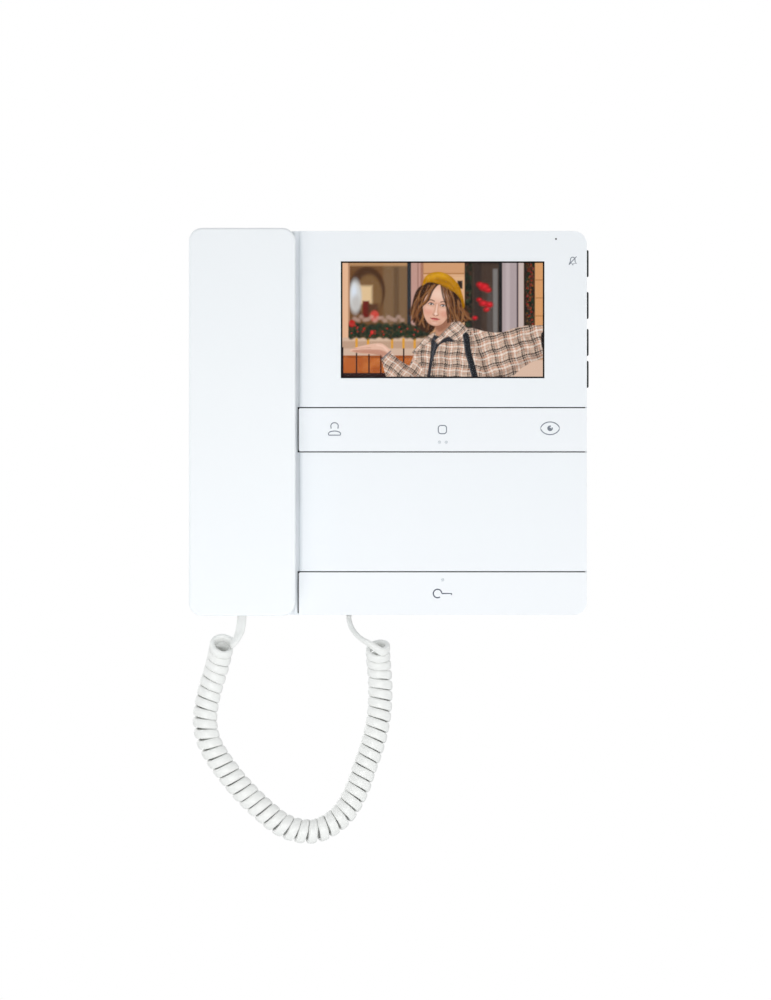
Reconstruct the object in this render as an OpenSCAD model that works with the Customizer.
// Video intercom monitor with a lift-off handset on a curly cord, hung on a wall bracket.
// Frame: the origin is on the wall, at the centre of the bracket's four corner holes.
// +X is to the user's right, +Z is up, and the front faces -Y.
// A depth is counted from the wall towards the user, so depth d lies at Y = -d. Lengths are in mm.

/* [Overall size] */
// Width over the handset and the housing
overall_w = 188; // [186:0.5:192]
// Height of the housing
housing_h = 181.5; // [180:0.5:184]
// Depth of the housing's face
face_depth = 21; // [20.8:0.1:22]
// Depth of the handset's front
handset_depth = 38; // [36:0.5:42]
// Radius of the corners in front view
corner_r = 6.3; // [5.5:0.1:7]
// Thickness of the moulded walls
wall = 2; // [1.8:0.1:2.2]

/* [Handset] */
// Width of the handset
handset_w = 50.3; // [50:0.1:50.6]
// Height of the handset
handset_h = 183; // [182:0.5:184]
// Depth of the seam between the handset's shells
handset_seam = 27; // [26:0.5:28]
// Depth of the handset's arched back, over the finger gap
arch_depth = 19.6; // [18:0.1:20.5]

/* [Screen] */
// Width of the visible window
window_w = 96.2; // [95.8:0.1:97]
// Height of the visible window
window_h = 55.2; // [54.8:0.1:56]
// Window centre, right of the origin
window_x = 25.8; // [25:0.1:26.5]
// Window centre, above the origin
window_z = 48.8; // [48:0.1:49.5]

/* [Keys] */
// Gap between a bar and the front cover
bar_gap = 0.55; // [0.4:0.05:0.7]
// Travel of the two bars
bar_travel = 0.5; // [0.3:0.05:0.6]
// Length of a side key
side_key_len = 12.8; // [12:0.1:13]
// How far a side key stands out of the housing
side_key_proud = 0.95; // [0.5:0.05:1]

/* [Wall bracket] */
// Spacing of the corner holes across
corner_holes_w = 84; // [80:1:86]
// Spacing of the corner holes up
corner_holes_h = 108; // [104:1:110]
// Spacing of the holes for a round flush box
round_box = 60; // [60:0.1:60.5]
// Spacing of the holes for a rectangular flush box
long_box = 83.5; // [83:0.1:84]
// Radius of every wall screw hole
screw_hole_r = 2.25; // [2:0.05:2.5]
// Sheet thickness
bracket_t = 1.2; // [1:0.1:1.5]

/* [Cord] */
// Outer diameter of the curly cord's coil
coil_d = 11.4; // [11:0.1:12]
// Diameter of the straight leads' solids
lead_d = 3.4; // [3:0.1:4]

/* [Hidden] */
$fn = 48;

// Housing, in front view
right_x = overall_w / 2;
left_x = -right_x;
half_h = housing_h / 2;
deck_x = [left_x + 1.5, right_x - 138.2]; // the deck under the handset
face_x = [right_x - 136, right_x];        // the raised face
rear_gap = 0.3;                           // the rear cover's edge stands off the wall
seam_depth = 14;                          // between the rear and front covers
deck_seam = 8.5;                          // the same seam, along the deck
deck_depth = 11;
ledge_depth = 17.5;                       // step between the deck and the face
recess_x = [-56, 56];                     // room for the bracket in the rear cover's back
recess_z = [-68, 68];
recess_depth = 4.7;
cable_x = [-22, 22];                      // where the wires come in
cable_z = [-29, 27];
hook_at = [[-36, 36], [36, 36], [-36, -40], [36, -40]]; // hooks that hold the housing on the bracket
hook_w = 9;
housing_screw_at = [[85, 85], [85, -85], [-36, 84], [-36, -84], [-86, 84], [-86, -84]];
housing_seat = 3.3;                       // depth that the housing screws' heads seat at

// Bars
function_z = [-13.4, 7];
door_z = [-half_h, -70.6];
bar_x = [face_x[0] - 0.2, right_x];
pocket_x = [face_x[0] - 0.8, right_x + 1];
pocket_wall_x = [face_x[0], right_x - 0.5];
pocket_floor = 16.8;                      // depth of the pockets that the bars sit in
pocket_under = pocket_floor - wall;
bar_skin = 1.6;
bar_side = 1.4;
mat_top = pocket_floor + 0.5;
bar_rim = mat_top + bar_travel + 0.15;    // depth of the bars' lower edge
seal_rib_x = [right_x - 4.2, right_x - 3.2]; // rib on each mat; it closes the gap under its bar
seal_rib_top = bar_rim + 0.15;
switch_front = 14.6;
stem_r = 2;
stem_end = switch_front + 0.1 + bar_travel;
symbol_x = [-25.3, 25.7, 76.6];           // printed symbols, each over a switch
function_symbol_z = -3.2;
door_symbol_z = -80.6;
function_led_at = [[24.3, -9.1], [27.5, -9.1]];
door_led_at = [[25.8, -74.1]];
pinhole_at = [79.4, 87];
leg_x = [-28, 10, 52, 78];                // snap legs, in pairs along each bar

// Side keys
side_key_z = [75.5, 55.7, 38.2, 23.1];
side_key_depth = 8.1;
side_key_h = 4;
side_stem_x = 79.2;

// Colours
elastomer = [0.13, 0.13, 0.14];
key_black = [0.08, 0.08, 0.09];

// Boards, counted as depths
board_back = 9.6;
board_front = 11.2;
holder_back = 13.1;
lcd_back = 15.1;
lcd_front = 18.2;
pane_back = face_depth - 1.2;             // the rebate that the window's pane sits in
gasket_size = [101, 61];                  // screen parts, width and height
panel_size = [97.8, 57];
backlight_size = [104.6, 66.2];
bezel_size = [105.5, 67.2];
bezel_room = [104.8, 66.5];
holder_size = [107, 69];
holder_room = [90, 50];
short_head = 1.6;                         // height of the board screws' heads
holder_screw_at = [[-32, 20], [-32, 76], [84, 20], [84, 62]];
board_screw_at = [[-26, -56], [76, -56], [-26, 80], [75, 82]];
key_board_screw_at = [[-3, -79], [65, -79]];
speaker_at = [73, -40];

// Handset
handset_x = [left_x, left_x + handset_w];
handset_z = [0.5 - handset_h / 2, 0.5 + handset_h / 2];
handset_mid_x = (handset_x[0] + handset_x[1]) / 2;
back_inset = 0.85;                        // the rear shell is smaller than the front shell
rear_shell_x = grown(handset_x, -back_inset);
rear_shell_z = grown(handset_z, -back_inset);
back_depth = 11.8;                        // the rear shell's lowest depth, at the ear and mouth
slope_z = [39, 53];                       // the arch's slopes, from the handset's middle
ear_z = 68;
mouth_z = -66;
magnet_z = [85.5, -56.5];
handset_screw_z = [30, -30];
handset_seat = 22.5;                      // depth that the handset screws' heads seat at

// Cord, as [x, depth, z]; coil_route is the coil's axis, from the handset's end to the housing's
socket_depth = [20, 8.8];                 // handset and housing
base_cord_x = -18.5;
handset_cord_x = -69.2;
plug_end = [-90.5, -90.6];                // where the plugs' tails end, handset and housing
coil_route = [
    [-78.4, 21, -103.8], [-79.6, 16.5, -109.5], [-81.4, 13.5, -116.5], [-83.6, 12, -123.5],
    [-85.4, 11.3, -130.5], [-86.5, 11, -137.5], [-86.4, 11, -144], [-84.8, 11, -150.5],
    [-81.5, 11, -157], [-77, 10.8, -163.5], [-71.5, 10.5, -170.5], [-65, 10, -177.5],
    [-58, 10, -184], [-50.5, 9.8, -189.8], [-42.5, 9.5, -192.8], [-34.5, 9.5, -193],
    [-27.5, 9.3, -190], [-21.5, 9, -185], [-17.2, 9, -178.5], [-14, 9, -171.5],
    [-11.3, 9, -163.5], [-8.6, 9, -156], [-6.2, 9, -148], [-4.6, 9, -140],
    [-3.8, 9, -132], [-3.7, 9.2, -124], [-4.2, 10, -116.5], [-4.7, 12.2, -110.2], [-4.8, 15.5, -105.2],
];
handset_lead_route = [
    [-69.2, 20, -90.5], [-69.2, 20, -91.5], [-69.2, 20, -93.4], [-69.9, 21, -98],
    [-71.5, 22.4, -101.8], [-73.1, 22.6, -104.2],
];
base_lead_route = [
    [-18.5, 8.8, -90.6], [-18.5, 8.8, -91.6], [-18.5, 8.8, -93], [-17.2, 10.8, -96.8],
    [-14.8, 14, -100.3], [-11.6, 17, -103.2], [-8.8, 18.8, -105],
];

// ---- Shared shapes ----

// Extrudes a front-view outline between two depths
module layer(from, to) {
    rotate([90, 0, 0]) translate([0, 0, from]) linear_extrude(to - from) children();
}

// Extrudes a side-view outline, drawn as [-depth, z], between two places along X
module along_x(x) {
    translate([x[0], 0, 0]) rotate([90, 0, 90]) linear_extrude(x[1] - x[0]) children();
}

module rect2d(x, z) {
    translate([x[0], z[0]]) square([x[1] - x[0], z[1] - z[0]]);
}

// Rectangle with round corners, from straight and round outlines only
module round2d(x, z, r) {
    rect2d([x[0] + r, x[1] - r], z);
    rect2d(x, [z[0] + r, z[1] - r]);
    for (cx = [x[0] + r, x[1] - r], cz = [z[0] + r, z[1] - r]) translate([cx, cz]) circle(r);
}

// Box between two corners, given as ranges
module block(x, depth, z) {
    layer(depth[0], depth[1]) rect2d(x, z);
}

// Round post that stands along the depth
module post(at, r, from, to) {
    layer(from, to) translate(at) circle(r);
}

function grown(range, by) = [range[0] - by, range[1] + by];
function around(middle, size) = [middle - size / 2, middle + size / 2];

// A ring of places around a middle
function ring_of(middle, r, count) = [
    for (i = [0 : count - 1]) middle + r * [cos(360 * i / count), sin(360 * i / count)]
];

// A hole with two rings of holes round it, for sound
module sound_holes(middle, pitch, r, from, to) {
    for (at = concat([middle], ring_of(middle, pitch, 6), ring_of(middle, 2 * pitch, 12)))
        post(at, r, from, to);
}

// Pan-head screw along the depth: the head's far side, its seat and the tip
module screw(at, head_r, shaft_r, head, seat, tip) {
    difference() {
        post(at, head_r, head, seat);
        block(around(at[0], head_r * 1.3), [head - 1, head + 0.7], around(at[1], 0.8));
        block(around(at[0], 0.8), [head - 1, head + 0.7], around(at[1], head_r * 1.3));
    }
    post(at, shaft_r, seat, tip);
}

// ---- Outlines ----

// The housing's outline right of a place, drawn in by a margin
module face2d(from_x, margin = 0) {
    intersection() {
        round2d([from_x - 20, right_x - margin], [-half_h + margin, half_h - margin], corner_r - margin);
        rect2d([from_x, right_x], [-half_h, half_h]);
    }
}

module deck2d(margin = 0) {
    intersection() {
        round2d([deck_x[0] + margin, deck_x[1] + 20], [-half_h + margin, half_h - margin], corner_r - margin);
        rect2d([deck_x[0], deck_x[1]], [-half_h, half_h]);
    }
}

// Outline of a bar, with small corners at its left end
module bar2d(z, margin = 0) {
    intersection() {
        union() {
            round2d(grown(bar_x, -margin), grown(z, -margin), 0.8);
            rect2d([0, bar_x[1] - margin], grown(z, -margin));
        }
        face2d(bar_x[0], margin);
    }
}

// ---- Wall bracket ----

module hook(at) {
    x = around(at[0], hook_w);
    reach = recess_depth + wall + 0.3 + bracket_t;
    block(x, [bracket_t, reach], [at[1], at[1] + bracket_t]);
    block(x, [reach - bracket_t, reach], [at[1], at[1] + 4]);
}

module wall_bracket() {
    color("gainsboro") union() {
        layer(0, bracket_t) difference() {
            round2d([-51, 51], [-62, 62], 5);
            round2d([-24, 24], [-31, 29], 4);
            for (x = around(0, corner_holes_w), z = around(0, corner_holes_h))
                translate([x, z]) circle(screw_hole_r);
            for (x = around(0, round_box)) translate([x, 0]) circle(screw_hole_r);
            for (z = around(0, long_box)) translate([0, z]) circle(screw_hole_r);
            for (at = hook_at) rect2d(around(at[0], hook_w), [at[1] - 7, at[1]]);
        }
        for (at = hook_at) hook(at);
    }
}

// ---- Rear cover ----

module rear_cover() {
    color("whitesmoke") difference() {
        union() {
            difference() {
                union() {
                    layer(rear_gap, deck_seam) deck2d();
                    layer(rear_gap, seam_depth) face2d(deck_x[1]);
                }
                layer(rear_gap + wall, seam_depth + 1) union() {
                    deck2d(wall);
                    rect2d([deck_x[1] - 1, deck_x[1] + 1], grown([-half_h, half_h], -wall));
                    face2d(deck_x[1], wall);
                }
            }
            layer(rear_gap, recess_depth + wall) round2d(grown(recess_x, wall), grown(recess_z, wall), 5);
            for (at = housing_screw_at) post(at, 4.6, rear_gap, housing_seat + 2);
            layer(rear_gap + wall, 4.5) difference() {
                translate(speaker_at) circle(15.6);
                translate(speaker_at) circle(14.15);
            }
        }
        layer(-1, recess_depth) round2d(recess_x, recess_z, 3);
        layer(0, recess_depth + wall + 1) round2d(cable_x, cable_z, 3);
        for (at = hook_at) {
            block(around(at[0], hook_w + 1), [0, recess_depth + wall + 1],
                  [at[1] - 4.6, at[1] + bracket_t + 0.05]);
        }
        for (at = housing_screw_at) {
            post(at, 3.1, -1, housing_seat);
            post(at, 1.7, 0, housing_seat + 3);
        }
        // windows for the side keys, and the cord's way in
        for (z = side_key_z) {
            along_x([right_x - wall - 1, right_x + 1])
                round2d(around(-side_key_depth, side_key_h + 0.4), around(z, side_key_len + 0.4), 2.1);
        }
        block(around(base_cord_x, 7.2), around(socket_depth[1], 8.2), [-half_h - 1, -half_h + wall + 1]);
        // the ringer sounds into a shallow channel that leads down behind the cover
        sound_holes(speaker_at, 3.5, 0.9, 0, rear_gap + wall + 1);
        block([64.5, 81.4], [0, rear_gap + 1], [-half_h - 1, speaker_at[1] + 10]);
    }
}

module housing_screws() {
    color("silver") for (at = housing_screw_at)
        screw(at, 2.8, 1.45, housing_seat - 2.1, housing_seat, at[0] < deck_x[1] ? 9.8 : 13);
}

// ---- Front cover ----

// Holes in a pocket's floor for a bar's stems, light pipes and snap legs
module pocket_holes(z, stems, pipes, from, to) {
    for (at = stems) post(at, stem_r + 0.4, from, to);
    for (at = pipes) post(at, 1.1, from, to);
    for (x = leg_x, side = [0, 1]) block(around(x, 4.6), [from, to], around(leg_z(z, side), 1.8));
}

// The legs stand near the bar's long edges
function leg_z(z, side) = side == 0 ? z[0] + 4.2 : z[1] - 4.2;
function function_stems() = [for (x = symbol_x) [x, function_symbol_z]];
function door_stems() = [[symbol_x[1], door_symbol_z]];

module front_cover() {
    inner_z = [-half_h + wall, half_h - wall];
    color("white") difference() {
        union() {
            // face, hollow from behind
            difference() {
                layer(seam_depth, face_depth) face2d(face_x[0]);
                layer(seam_depth - 1, face_depth - wall) face2d(face_x[0] + wall, wall);
            }
            // ledge, and the wall that drops from it to the deck
            block([deck_x[1], face_x[0] + wall], [ledge_depth - wall, ledge_depth], [-half_h, half_h]);
            block([deck_x[1], deck_x[1] + wall], [seam_depth, ledge_depth], [-half_h, half_h]);
            for (z = [[-half_h, -half_h + wall], [half_h - wall, half_h]])
                block([deck_x[1], face_x[0] + wall], [seam_depth, ledge_depth], z);
            block([deck_x[1], deck_x[1] + wall], [deck_seam, seam_depth + 1], grown(inner_z, -0.05));
            // deck that the handset lies on
            layer(deck_seam, deck_depth) deck2d();
            // floors and walls of the two pockets
            block(pocket_wall_x, [pocket_under, pocket_floor], grown(function_z, bar_gap + wall));
            for (z = [function_z[0] - bar_gap - wall, function_z[1] + bar_gap])
                block(pocket_wall_x, [pocket_under, face_depth - 0.5], [z, z + wall]);
            layer(pocket_under, pocket_floor) intersection() {
                face2d(face_x[0]);
                rect2d([face_x[0], right_x], [-half_h, door_z[1] + bar_gap + wall]);
            }
            block(pocket_wall_x, [pocket_under, face_depth - 0.5],
                  [door_z[1] + bar_gap, door_z[1] + bar_gap + wall]);
            // bosses: housing screws, screen holder and boards
            for (at = housing_screw_at)
                post(at, 3, housing_seat + 2.1, at[0] < deck_x[1] ? deck_seam + 0.5 : pocket_under + 0.5);
            for (at = [housing_screw_at[0], housing_screw_at[2]]) post(at, 3, pocket_under, face_depth - 0.5);
            for (at = holder_screw_at) post(at, 2.4, lcd_back, face_depth - 0.5);
            for (at = [board_screw_at[0], board_screw_at[1]]) post(at, 2.4, board_front, face_depth - 0.5);
            for (at = key_board_screw_at) post(at, 2.4, board_front, pocket_floor - 0.5);
        }
        // pockets
        block(pocket_x, [pocket_floor, face_depth + 1], grown(function_z, bar_gap));
        block(pocket_x, [pocket_floor, face_depth + 1], [-half_h - 1, door_z[1] + bar_gap]);
        pocket_holes(function_z, function_stems(), function_led_at, pocket_under - 1, face_depth);
        pocket_holes(door_z, door_stems(), door_led_at, pocket_under - 1, face_depth);
        // window, with a rebate for its pane
        block(around(window_x, window_w + 0.1), [pane_back, face_depth + 1],
              around(window_z, window_h + 0.1));
        block(around(window_x, window_w - 1), [face_depth - 3, face_depth + 1],
              around(window_z, window_h - 1));
        post(pinhole_at, 0.45, face_depth - 3, face_depth + 1);
        // pilot holes
        for (at = housing_screw_at) post(at, 1.5, housing_seat + 1.7, at[0] < deck_x[1] ? 10 : 13.4);
        for (at = holder_screw_at) post(at, 1.25, lcd_back - 1, 18.7);
        for (at = [board_screw_at[0], board_screw_at[1]]) post(at, 1.25, board_front - 1, 15.2);
        for (at = key_board_screw_at) post(at, 1.25, board_front - 1, 15.2);
    }
}

// ---- Screen ----

module screen_window() {
    color("black", 0.4)
        block(around(window_x, window_w), [pane_back, face_depth - 0.2], around(window_z, window_h));
}

module screen_gasket() {
    color("dimgray") layer(lcd_front, face_depth - wall) difference() {
        rect2d(around(window_x, gasket_size[0]), around(window_z, gasket_size[1]));
        rect2d(around(window_x, window_w - 0.8), around(window_z, window_h - 0.8));
    }
}

module lcd_panel() {
    color("darkslategray")
        block(around(window_x, panel_size[0]), [lcd_back + 1.8, lcd_front - 0.05],
              around(window_z, panel_size[1]));
}

module lcd_backlight() {
    color("white")
        block(around(window_x, backlight_size[0]), [lcd_back + 0.35, lcd_back + 1.75],
              around(window_z, backlight_size[1]));
}

module lcd_bezel() {
    color("silver") difference() {
        block(around(window_x, bezel_size[0]), [lcd_back, lcd_front], around(window_z, bezel_size[1]));
        block(around(window_x, bezel_room[0]), [lcd_back + 0.3, lcd_front + 1],
              around(window_z, bezel_room[1]));
    }
}

module lcd_holder() {
    color("lightgray") difference() {
        union() {
            layer(holder_back, lcd_back) difference() {
                rect2d(around(window_x, holder_size[0]), around(window_z, holder_size[1]));
                rect2d(around(window_x, holder_room[0]), around(window_z, holder_room[1]));
            }
            for (at = holder_screw_at)
                block([min(at[0], window_x + 50 * sign(at[0])), max(at[0], window_x + 50 * sign(at[0]))],
                      [holder_back, lcd_back], around(at[1], 6));
            for (at = holder_screw_at) post(at, 3, holder_back, lcd_back);
            for (at = [board_screw_at[2], board_screw_at[3]]) post(at, 2.6, board_front, lcd_back);
        }
        for (at = holder_screw_at) post(at, 1.3, holder_back - 1, lcd_back + 1);
        for (at = [board_screw_at[2], board_screw_at[3]]) post(at, 1.25, board_front - 1, 14.9);
    }
}

// Flat flexible lead that folds from the panel's lower edge to the board
module lcd_ribbon() {
    t = 0.3;
    low = 11.2;
    panel_side = -16.8;
    board_side = -12.2;
    color("orange") along_x(around(window_x, 26)) union() {
        rect2d([panel_side, panel_side + t], [low, 15.15]);
        rect2d([panel_side, board_side], [low, low + t]);
        rect2d([board_side - t, board_side], [low, 17]);
    }
}

// ---- Boards ----

module main_board() {
    color("darkgreen") difference() {
        block([-30, 81.5], [board_back, board_front], [-62, 88.2]);
        for (at = board_screw_at) post(at, 1.4, board_back - 1, board_front + 1);
    }
}

// Short screws that hold both boards and the screen holder
module board_screws() {
    color("silver") {
        for (at = concat(board_screw_at, key_board_screw_at))
            screw(at, 2.2, 1.2, board_back - short_head, board_back, 14.6);
        for (at = holder_screw_at) screw(at, 2.2, 1.2, holder_back - short_head, holder_back, 18.1);
    }
}

chips = [ // middle x, z, width, height, thickness
    [12, 34, 20, 20, 1.4], [-12, 34, 12, 18, 1.2], [50, -47, 10, 6, 1.6],
    [-16, 8, 8, 8, 1.2], [48, 6, 9, 9, 1.2],
];

module board_chips() {
    color("dimgray") {
        for (c = chips) block(around(c[0], c[2]), [board_back - c[4], board_back], around(c[1], c[3]));
        block(around(window_x, 30), [board_front, board_front + 1], [17, 21.5]);
        block([2, 12], [board_back - 2.4, board_back], [-61, -57]);
    }
}

module power_parts() {
    color("slategray") {
        for (at = [[62, -6], [71, -6], [62, 68], [62, 58]]) post(at, 3.15, 3.8, board_back);
        block([58.6, 71], [3.4, board_back], [8, 20]);
        block([59, 67], [4, board_back], [28, 46]);
    }
}

module terminal_block() {
    color("seagreen") difference() {
        block([-20, 20], [2.8, board_back], [-27, -17]);
        for (i = [0 : 7]) {
            post([-17.5 + 5 * i, -22], 1.65, 2, 6);
            translate([-17.5 + 5 * i, -7.4, -20.5]) cylinder(h = 5, r = 1.2);
        }
    }
}

module terminal_screws() {
    color("silver") for (i = [0 : 7]) difference() {
        post([-17.5 + 5 * i, -22], 1.5, 3.4, 5.8);
        block(around(-17.5 + 5 * i, 2.2), [3, 4], around(-22, 0.5));
    }
}

module key_board() {
    color("darkgreen") difference() {
        block([-8, 70], [board_back, board_front], [-86.5, -70]);
        for (at = key_board_screw_at) post(at, 1.4, board_back - 1, board_front + 1);
    }
}

// Ribbon between the boards, on their backs
module key_board_ribbon() {
    color("lightgray") block([2, 12], [board_back - 0.5, board_back - 0.1], [-72.5, -61.2]);
}

module switch_body(at) {
    difference() {
        block(around(at[0], 6), [board_front, switch_front], around(at[1], 6));
        post(at, 1.85, 12.4, 15);
    }
}

module key_switches() {
    color("black") for (at = concat(function_stems(), door_stems())) switch_body(at);
}

module side_switches() {
    color("black") for (z = side_key_z) difference() {
        block([75.4, 81.4], [6.2, board_back], around(z, 6.4));
        translate([78.5, -side_key_depth, z]) rotate([0, 90, 0]) cylinder(h = 4, r = 1.15);
    }
}

module indicator_leds() {
    color("lightyellow") {
        for (at = concat(function_led_at, door_led_at)) post(at, 1, board_front, 12.4);
        post(pinhole_at, 1.5, board_front, 18.6);
    }
}

// ---- Key mats: thin dark elastomer sheets on the pockets' floors ----

// Rib inside a bar's right end, from the mat's underside
module seal_rib(z) {
    layer(pocket_floor, seal_rib_top) intersection() {
        bar2d(z, bar_side + 0.3);
        rect2d(seal_rib_x, z);
    }
}

module function_key_mat() {
    color(elastomer) difference() {
        union() {
            block([pocket_x[0] + 0.05, right_x - 0.85], [pocket_floor, mat_top],
                  grown(function_z, bar_gap - 0.05));
            seal_rib(function_z);
        }
        pocket_holes(function_z, function_stems(), function_led_at, pocket_floor - 1, mat_top + 1);
    }
}

module door_key_mat() {
    color(elastomer) difference() {
        union() {
            layer(pocket_floor, mat_top) intersection() {
                face2d(pocket_x[0] + 0.05, 0.85);
                rect2d([pocket_x[0], right_x], [-half_h, door_z[1] + bar_gap - 0.05]);
            }
            seal_rib(door_z);
        }
        pocket_holes(door_z, door_stems(), door_led_at, pocket_floor - 1, mat_top + 1);
    }
}

// ---- Ringer ----

module turned(at, from) {
    translate([at[0], -from, at[1]]) rotate([90, 0, 0]) children();
}

module speaker_frame() {
    color("dimgray") turned(speaker_at, rear_gap + wall) rotate_extrude() difference() {
        square([14, 2.9]);
        polygon([[0, -1], [12.6, -1], [12.6, 0.9], [6.9, 2.2], [6.9, 4], [0, 4]]);
    }
}

module speaker_cone() {
    color("gray") turned(speaker_at, rear_gap + wall) rotate_extrude()
        polygon([[0, 1.6], [5, 1.5], [12.5, 0.3], [12.5, 0.7], [5.4, 1.95], [0, 2.1]]);
}

module speaker_magnet() {
    color("silver") post(speaker_at, 7.6, rear_gap + wall + 2.9, 8.4);
}

// ---- Hook switch and cradle ----

module hook_switch_board() {
    color("darkgreen") block([-83, -61], [5, 6], [72, 80]);
}

module reed_switch() {
    color("lightcyan") translate([-79, -7.1, 76]) rotate([0, 90, 0]) cylinder(h = 14, r = 1.1);
}

module keeper_plates() {
    color("silver") for (z = magnet_z) block(around(handset_mid_x, 24), [7.3, deck_seam], around(z, 6));
}

module cradle_pads() {
    color("gray") for (x = around(handset_mid_x, 34), z = [84, -84]) post([x, z], 3.5, deck_depth, 11.7);
}

// ---- Cord ----

// Smooth curve through the route's points, several stations for each stretch
function curve_at(p, i, t) = let (
    a = p[max(i - 1, 0)], b = p[i], c = p[i + 1], d = p[min(i + 2, len(p) - 1)]
) 0.5 * (2 * b + (c - a) * t + (2 * a - 5 * b + 4 * c - d) * t * t + (3 * b - a - 3 * c + d) * t * t * t);
function stations(p, steps) = concat(
    [for (i = [0 : len(p) - 2], k = [0 : steps - 1]) curve_at(p, i, k / steps)], [p[len(p) - 1]]
);
function in_frame(p) = [for (q = p) [q[0], -q[1], q[2]]];
function unit(v) = v / norm(v);

// Tube along stations; across is a direction that the tube never runs along
module tube(s, r, sides, across) {
    n = len(s);
    rings = [for (i = [0 : n - 1]) let (
        t = unit(s[min(i + 1, n - 1)] - s[max(i - 1, 0)]),
        u = unit(cross(t, across)),
        v = cross(t, u)
    ) for (k = [0 : sides - 1]) s[i] + r * (cos(360 * k / sides) * u + sin(360 * k / sides) * v)];
    walls = [for (i = [0 : n - 2], k = [0 : sides - 1]) let (j = (k + 1) % sides)
        [i * sides + k, i * sides + j, (i + 1) * sides + j, (i + 1) * sides + k]];
    first = [[for (k = [sides - 1 : -1 : 0]) k]];
    last = [[for (k = [0 : sides - 1]) (n - 1) * sides + k]];
    polyhedron(rings, concat(first, walls, last));
}

module cord_coil() {
    color("gainsboro") tube(in_frame(stations(coil_route, 2)), coil_d / 2, 12, [0, 1, 0]);
}

module cord_lead_handset() {
    color("gainsboro") tube(in_frame(stations(handset_lead_route, 2)), lead_d / 2, 8, [1, 0, 0]);
}

module cord_lead_base() {
    color("gainsboro") tube(in_frame(stations(base_lead_route, 2)), lead_d / 2, 8, [1, 0, 0]);
}

// Modular socket and plug, drawn mouth down with the mouth at the origin; the width lies along X
module socket() {
    difference() {
        translate([-5.5, -4.7, 0]) cube([11, 9.4, 13]);
        translate([-3.95, -3.45, -1]) cube([7.9, 6.9, 13.2]);
    }
}

module plug() {
    translate([-3.8, -3.3, 0]) cube([7.6, 4.6, 11.6]);
    translate([-1.6, 1.3, 3.5]) cube([3.2, 0.9, 8]);
}

module base_cord_socket() {
    color("black") translate([base_cord_x, -socket_depth[1], -half_h + wall]) rotate([0, 0, 90]) socket();
}

module base_cord_plug() {
    color("lightblue", 0.6) translate([base_cord_x, -socket_depth[1], plug_end[1]]) rotate([0, 0, 90]) plug();
}

module handset_socket() {
    color("black") translate([handset_cord_x, -socket_depth[0], handset_z[0] + back_inset + wall]) socket();
}

module handset_plug() {
    color("lightblue", 0.6) translate([handset_cord_x, -socket_depth[0], plug_end[0]]) plug();
}

// ---- Bars ----

module bar(z, stems, pipes) {
    difference() {
        union() {
            difference() {
                layer(bar_rim, face_depth) bar2d(z);
                layer(bar_rim - 1, face_depth - bar_skin) bar2d(z, bar_side);
            }
            for (at = stems) post(at, stem_r, stem_end, face_depth - 0.5);
            for (x = leg_x, side = [0, 1]) snap_leg(x, leg_z(z, side), side == 0 ? -1 : 1);
        }
        for (at = pipes) post(at, 0.7, 15, face_depth + 1);
    }
}

// Leg through the pocket's floor, with a barb that keeps the bar from falling out
module snap_leg(x, z, way) {
    block(around(x, 4), [13.8, face_depth - 0.5], around(z, 1.2));
    block(around(x, 4), [13.8, pocket_under - 0.1], way > 0 ? [z, z + 1.4] : [z - 1.4, z]);
}

module pipes(at) {
    for (p = at) post(p, 0.65, 13.2, face_depth);
}

module plungers(at) {
    for (p = at) post(p, 1.75, 13.1, stem_end);
}

module function_bar() {
    color("white") bar(function_z, function_stems(), function_led_at);
}

module function_bar_light_pipes() {
    color("lightgray") pipes(function_led_at);
}

module function_bar_plungers() {
    color("dimgray") plungers(function_stems());
}

module door_bar() {
    color("white") bar(door_z, door_stems(), door_led_at);
}

module door_bar_light_pipe() {
    color("lightgray") pipes(door_led_at);
}

module door_bar_plunger() {
    color("dimgray") plungers(door_stems());
}

// ---- Side keys ----

module side_key(z) {
    inner = right_x - wall - 0.25;
    color(key_black) {
        along_x([inner - 0.1, right_x + side_key_proud])
            round2d(around(-side_key_depth, side_key_h), around(z, side_key_len), 1.95);
        along_x([inner - 1.4, inner])
            round2d(around(-side_key_depth, side_key_h + 1.6), around(z, side_key_len + 1.6), 2.7);
        translate([side_stem_x, -side_key_depth, z]) rotate([0, 90, 0])
            cylinder(h = inner - 1 - side_stem_x, r = 1);
    }
}

module mute_key() { side_key(side_key_z[0]); }
module volume_key() { side_key(side_key_z[1]); }
module brightness_key() { side_key(side_key_z[2]); }
module contrast_key() { side_key(side_key_z[3]); }

// ---- Handset ----

// Side view of the handset's back as [-depth, z]: flat at the ear and mouth, arched between them.
// thin draws it in by a wall's thickness.
function back_profile(thin) = let (
    mid = (handset_z[0] + handset_z[1]) / 2,
    lean = atan((arch_depth - back_depth) / (slope_z[1] - slope_z[0])),
    shift = thin * tan(lean / 2),
    low = -(back_depth + thin), high = -(arch_depth + thin), cut = 1.5,
    z0 = rear_shell_z[0] + thin, z1 = rear_shell_z[1] - thin, top = thin > 0 ? -60 : -handset_seam
) [
    [top, z0], [low - cut, z0], [low, z0 + cut],
    [low, mid - slope_z[1] - shift], [high, mid - slope_z[0] - shift],
    [high, mid + slope_z[0] + shift], [low, mid + slope_z[1] + shift],
    [low, z1 - cut], [low - cut, z1], [top, z1],
];

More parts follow.
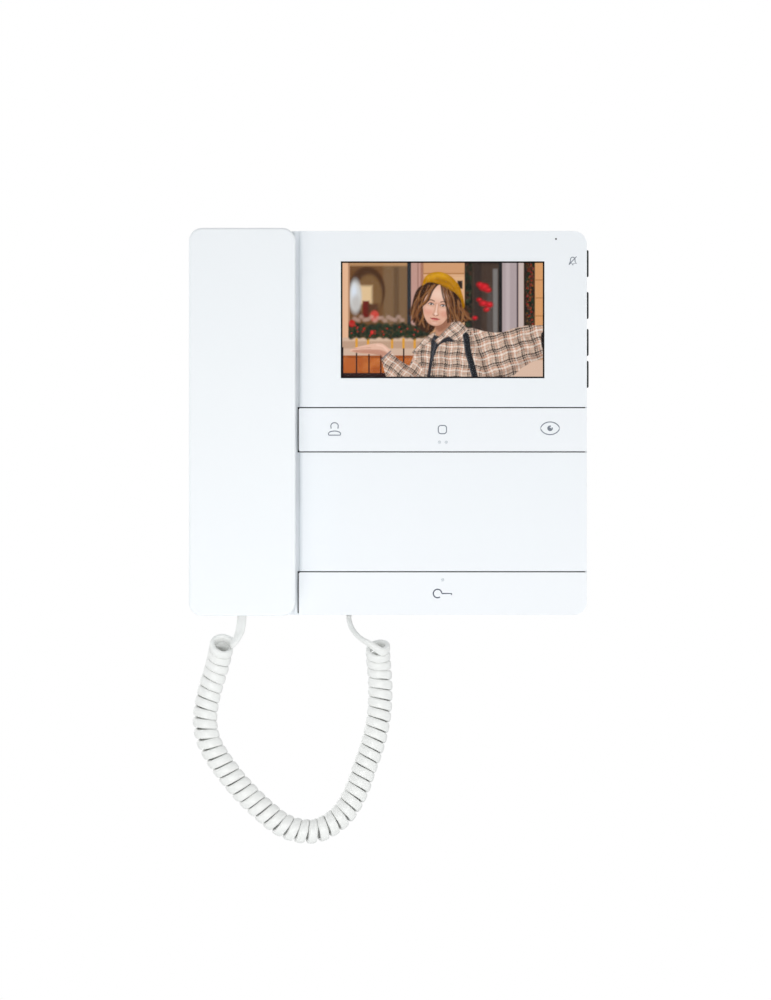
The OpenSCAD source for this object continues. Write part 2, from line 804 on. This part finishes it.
module handset_front_shell() {
    color("white") difference() {
        union() {
            difference() {
                layer(handset_seam, handset_depth) round2d(handset_x, handset_z, corner_r);
                layer(handset_seam - 1, handset_depth - wall)
                    round2d(grown(handset_x, -wall), grown(handset_z, -wall), corner_r - wall);
            }
            for (z = handset_screw_z) post([handset_mid_x, z], 3, handset_seat + 2.1, handset_depth - 0.5);
        }
        for (z = handset_screw_z) post([handset_mid_x, z], 1.5, handset_seat + 1.5, handset_seat + 10.5);
    }
}

module handset_rear_shell() {
    color("white") difference() {
        intersection() {
            layer(5, handset_seam) round2d(rear_shell_x, rear_shell_z, corner_r - back_inset);
            along_x(handset_x) polygon(back_profile(0));
        }
        intersection() {
            layer(5, handset_seam + 1)
                round2d(grown(rear_shell_x, -wall), grown(rear_shell_z, -wall), corner_r - back_inset - wall);
            along_x(handset_x) difference() {
                polygon(back_profile(wall));
                for (z = handset_screw_z) rect2d([-handset_seat - 2, 0], around(z, 7.5));
            }
        }
        for (z = handset_screw_z) {
            post([handset_mid_x, z], 3, 15, handset_seat);
            post([handset_mid_x, z], 1.7, 15, handset_seat + 2.5);
        }
        sound_holes([handset_mid_x, ear_z], 4, 0.9, 11, 14.5);
        for (at = ring_of([handset_mid_x, mouth_z], 2.2, 6)) post(at, 0.7, 11, 14.5);
        block(around(handset_cord_x, 8.4), around(socket_depth[0], 7.4),
              [handset_z[0] - 1, handset_z[0] + back_inset + wall + 1]);
    }
}

module handset_screws() {
    color("silver") for (z = handset_screw_z)
        screw([handset_mid_x, z], 2.7, 1.45, handset_seat - 1.9, handset_seat, handset_seat + 10);
}

module earpiece_gasket() {
    color("dimgray") layer(13.8, 14.6) translate([handset_mid_x, ear_z]) difference() {
        circle(13.4);
        circle(10.5);
    }
}

module earpiece() {
    color("black") turned([handset_mid_x, ear_z], 14.6) rotate_extrude()
        polygon([[0, 0.6], [10, 0.6], [10.6, 0], [13.4, 0], [13.4, 4], [9, 5.2], [9, 7], [0, 7]]);
}

module handset_microphone() {
    color("silver") difference() {
        post([handset_mid_x, mouth_z], 4.85, 14.8, 19.8);
        post([handset_mid_x, mouth_z], 3, 14, 15.1);
    }
}

module microphone_boot() {
    color("dimgray") difference() {
        post([handset_mid_x, mouth_z], 6.2, 13.8, 19.4);
        post([handset_mid_x, mouth_z], 4.9, 14.75, 20);
        post([handset_mid_x, mouth_z], 3.4, 13, 16);
    }
}

module handset_magnets() {
    color("silver") for (z = magnet_z) block(around(handset_mid_x, 20), [13.8, 17.8], around(z, 3.6));
}

// Two wires from the socket to the microphone and the earpiece
module handset_wires() {
    color("crimson") for (x = [-60, -57.5]) translate([x, -26.5, -74]) cylinder(h = 124, r = 0.6);
}

// ---- Assembly ----

wall_bracket();
rear_cover();
front_cover();
housing_screws();
screen_window();
screen_gasket();
lcd_panel();
lcd_backlight();
lcd_bezel();
lcd_holder();
lcd_ribbon();
main_board();
board_screws();
board_chips();
power_parts();
terminal_block();
terminal_screws();
key_board();
key_board_ribbon();
key_switches();
side_switches();
indicator_leds();
function_key_mat();
door_key_mat();
speaker_frame();
speaker_cone();
speaker_magnet();
hook_switch_board();
reed_switch();
keeper_plates();
cradle_pads();
base_cord_socket();
base_cord_plug();
cord_lead_base();
cord_coil();
cord_lead_handset();
function_bar();
function_bar_light_pipes();
function_bar_plungers();
door_bar();
door_bar_light_pipe();
door_bar_plunger();
mute_key();
volume_key();
brightness_key();
contrast_key();
handset_front_shell();
handset_rear_shell();
handset_screws();
earpiece();
earpiece_gasket();
handset_microphone();
microphone_boot();
handset_magnets();
handset_socket();
handset_plug();
handset_wires();
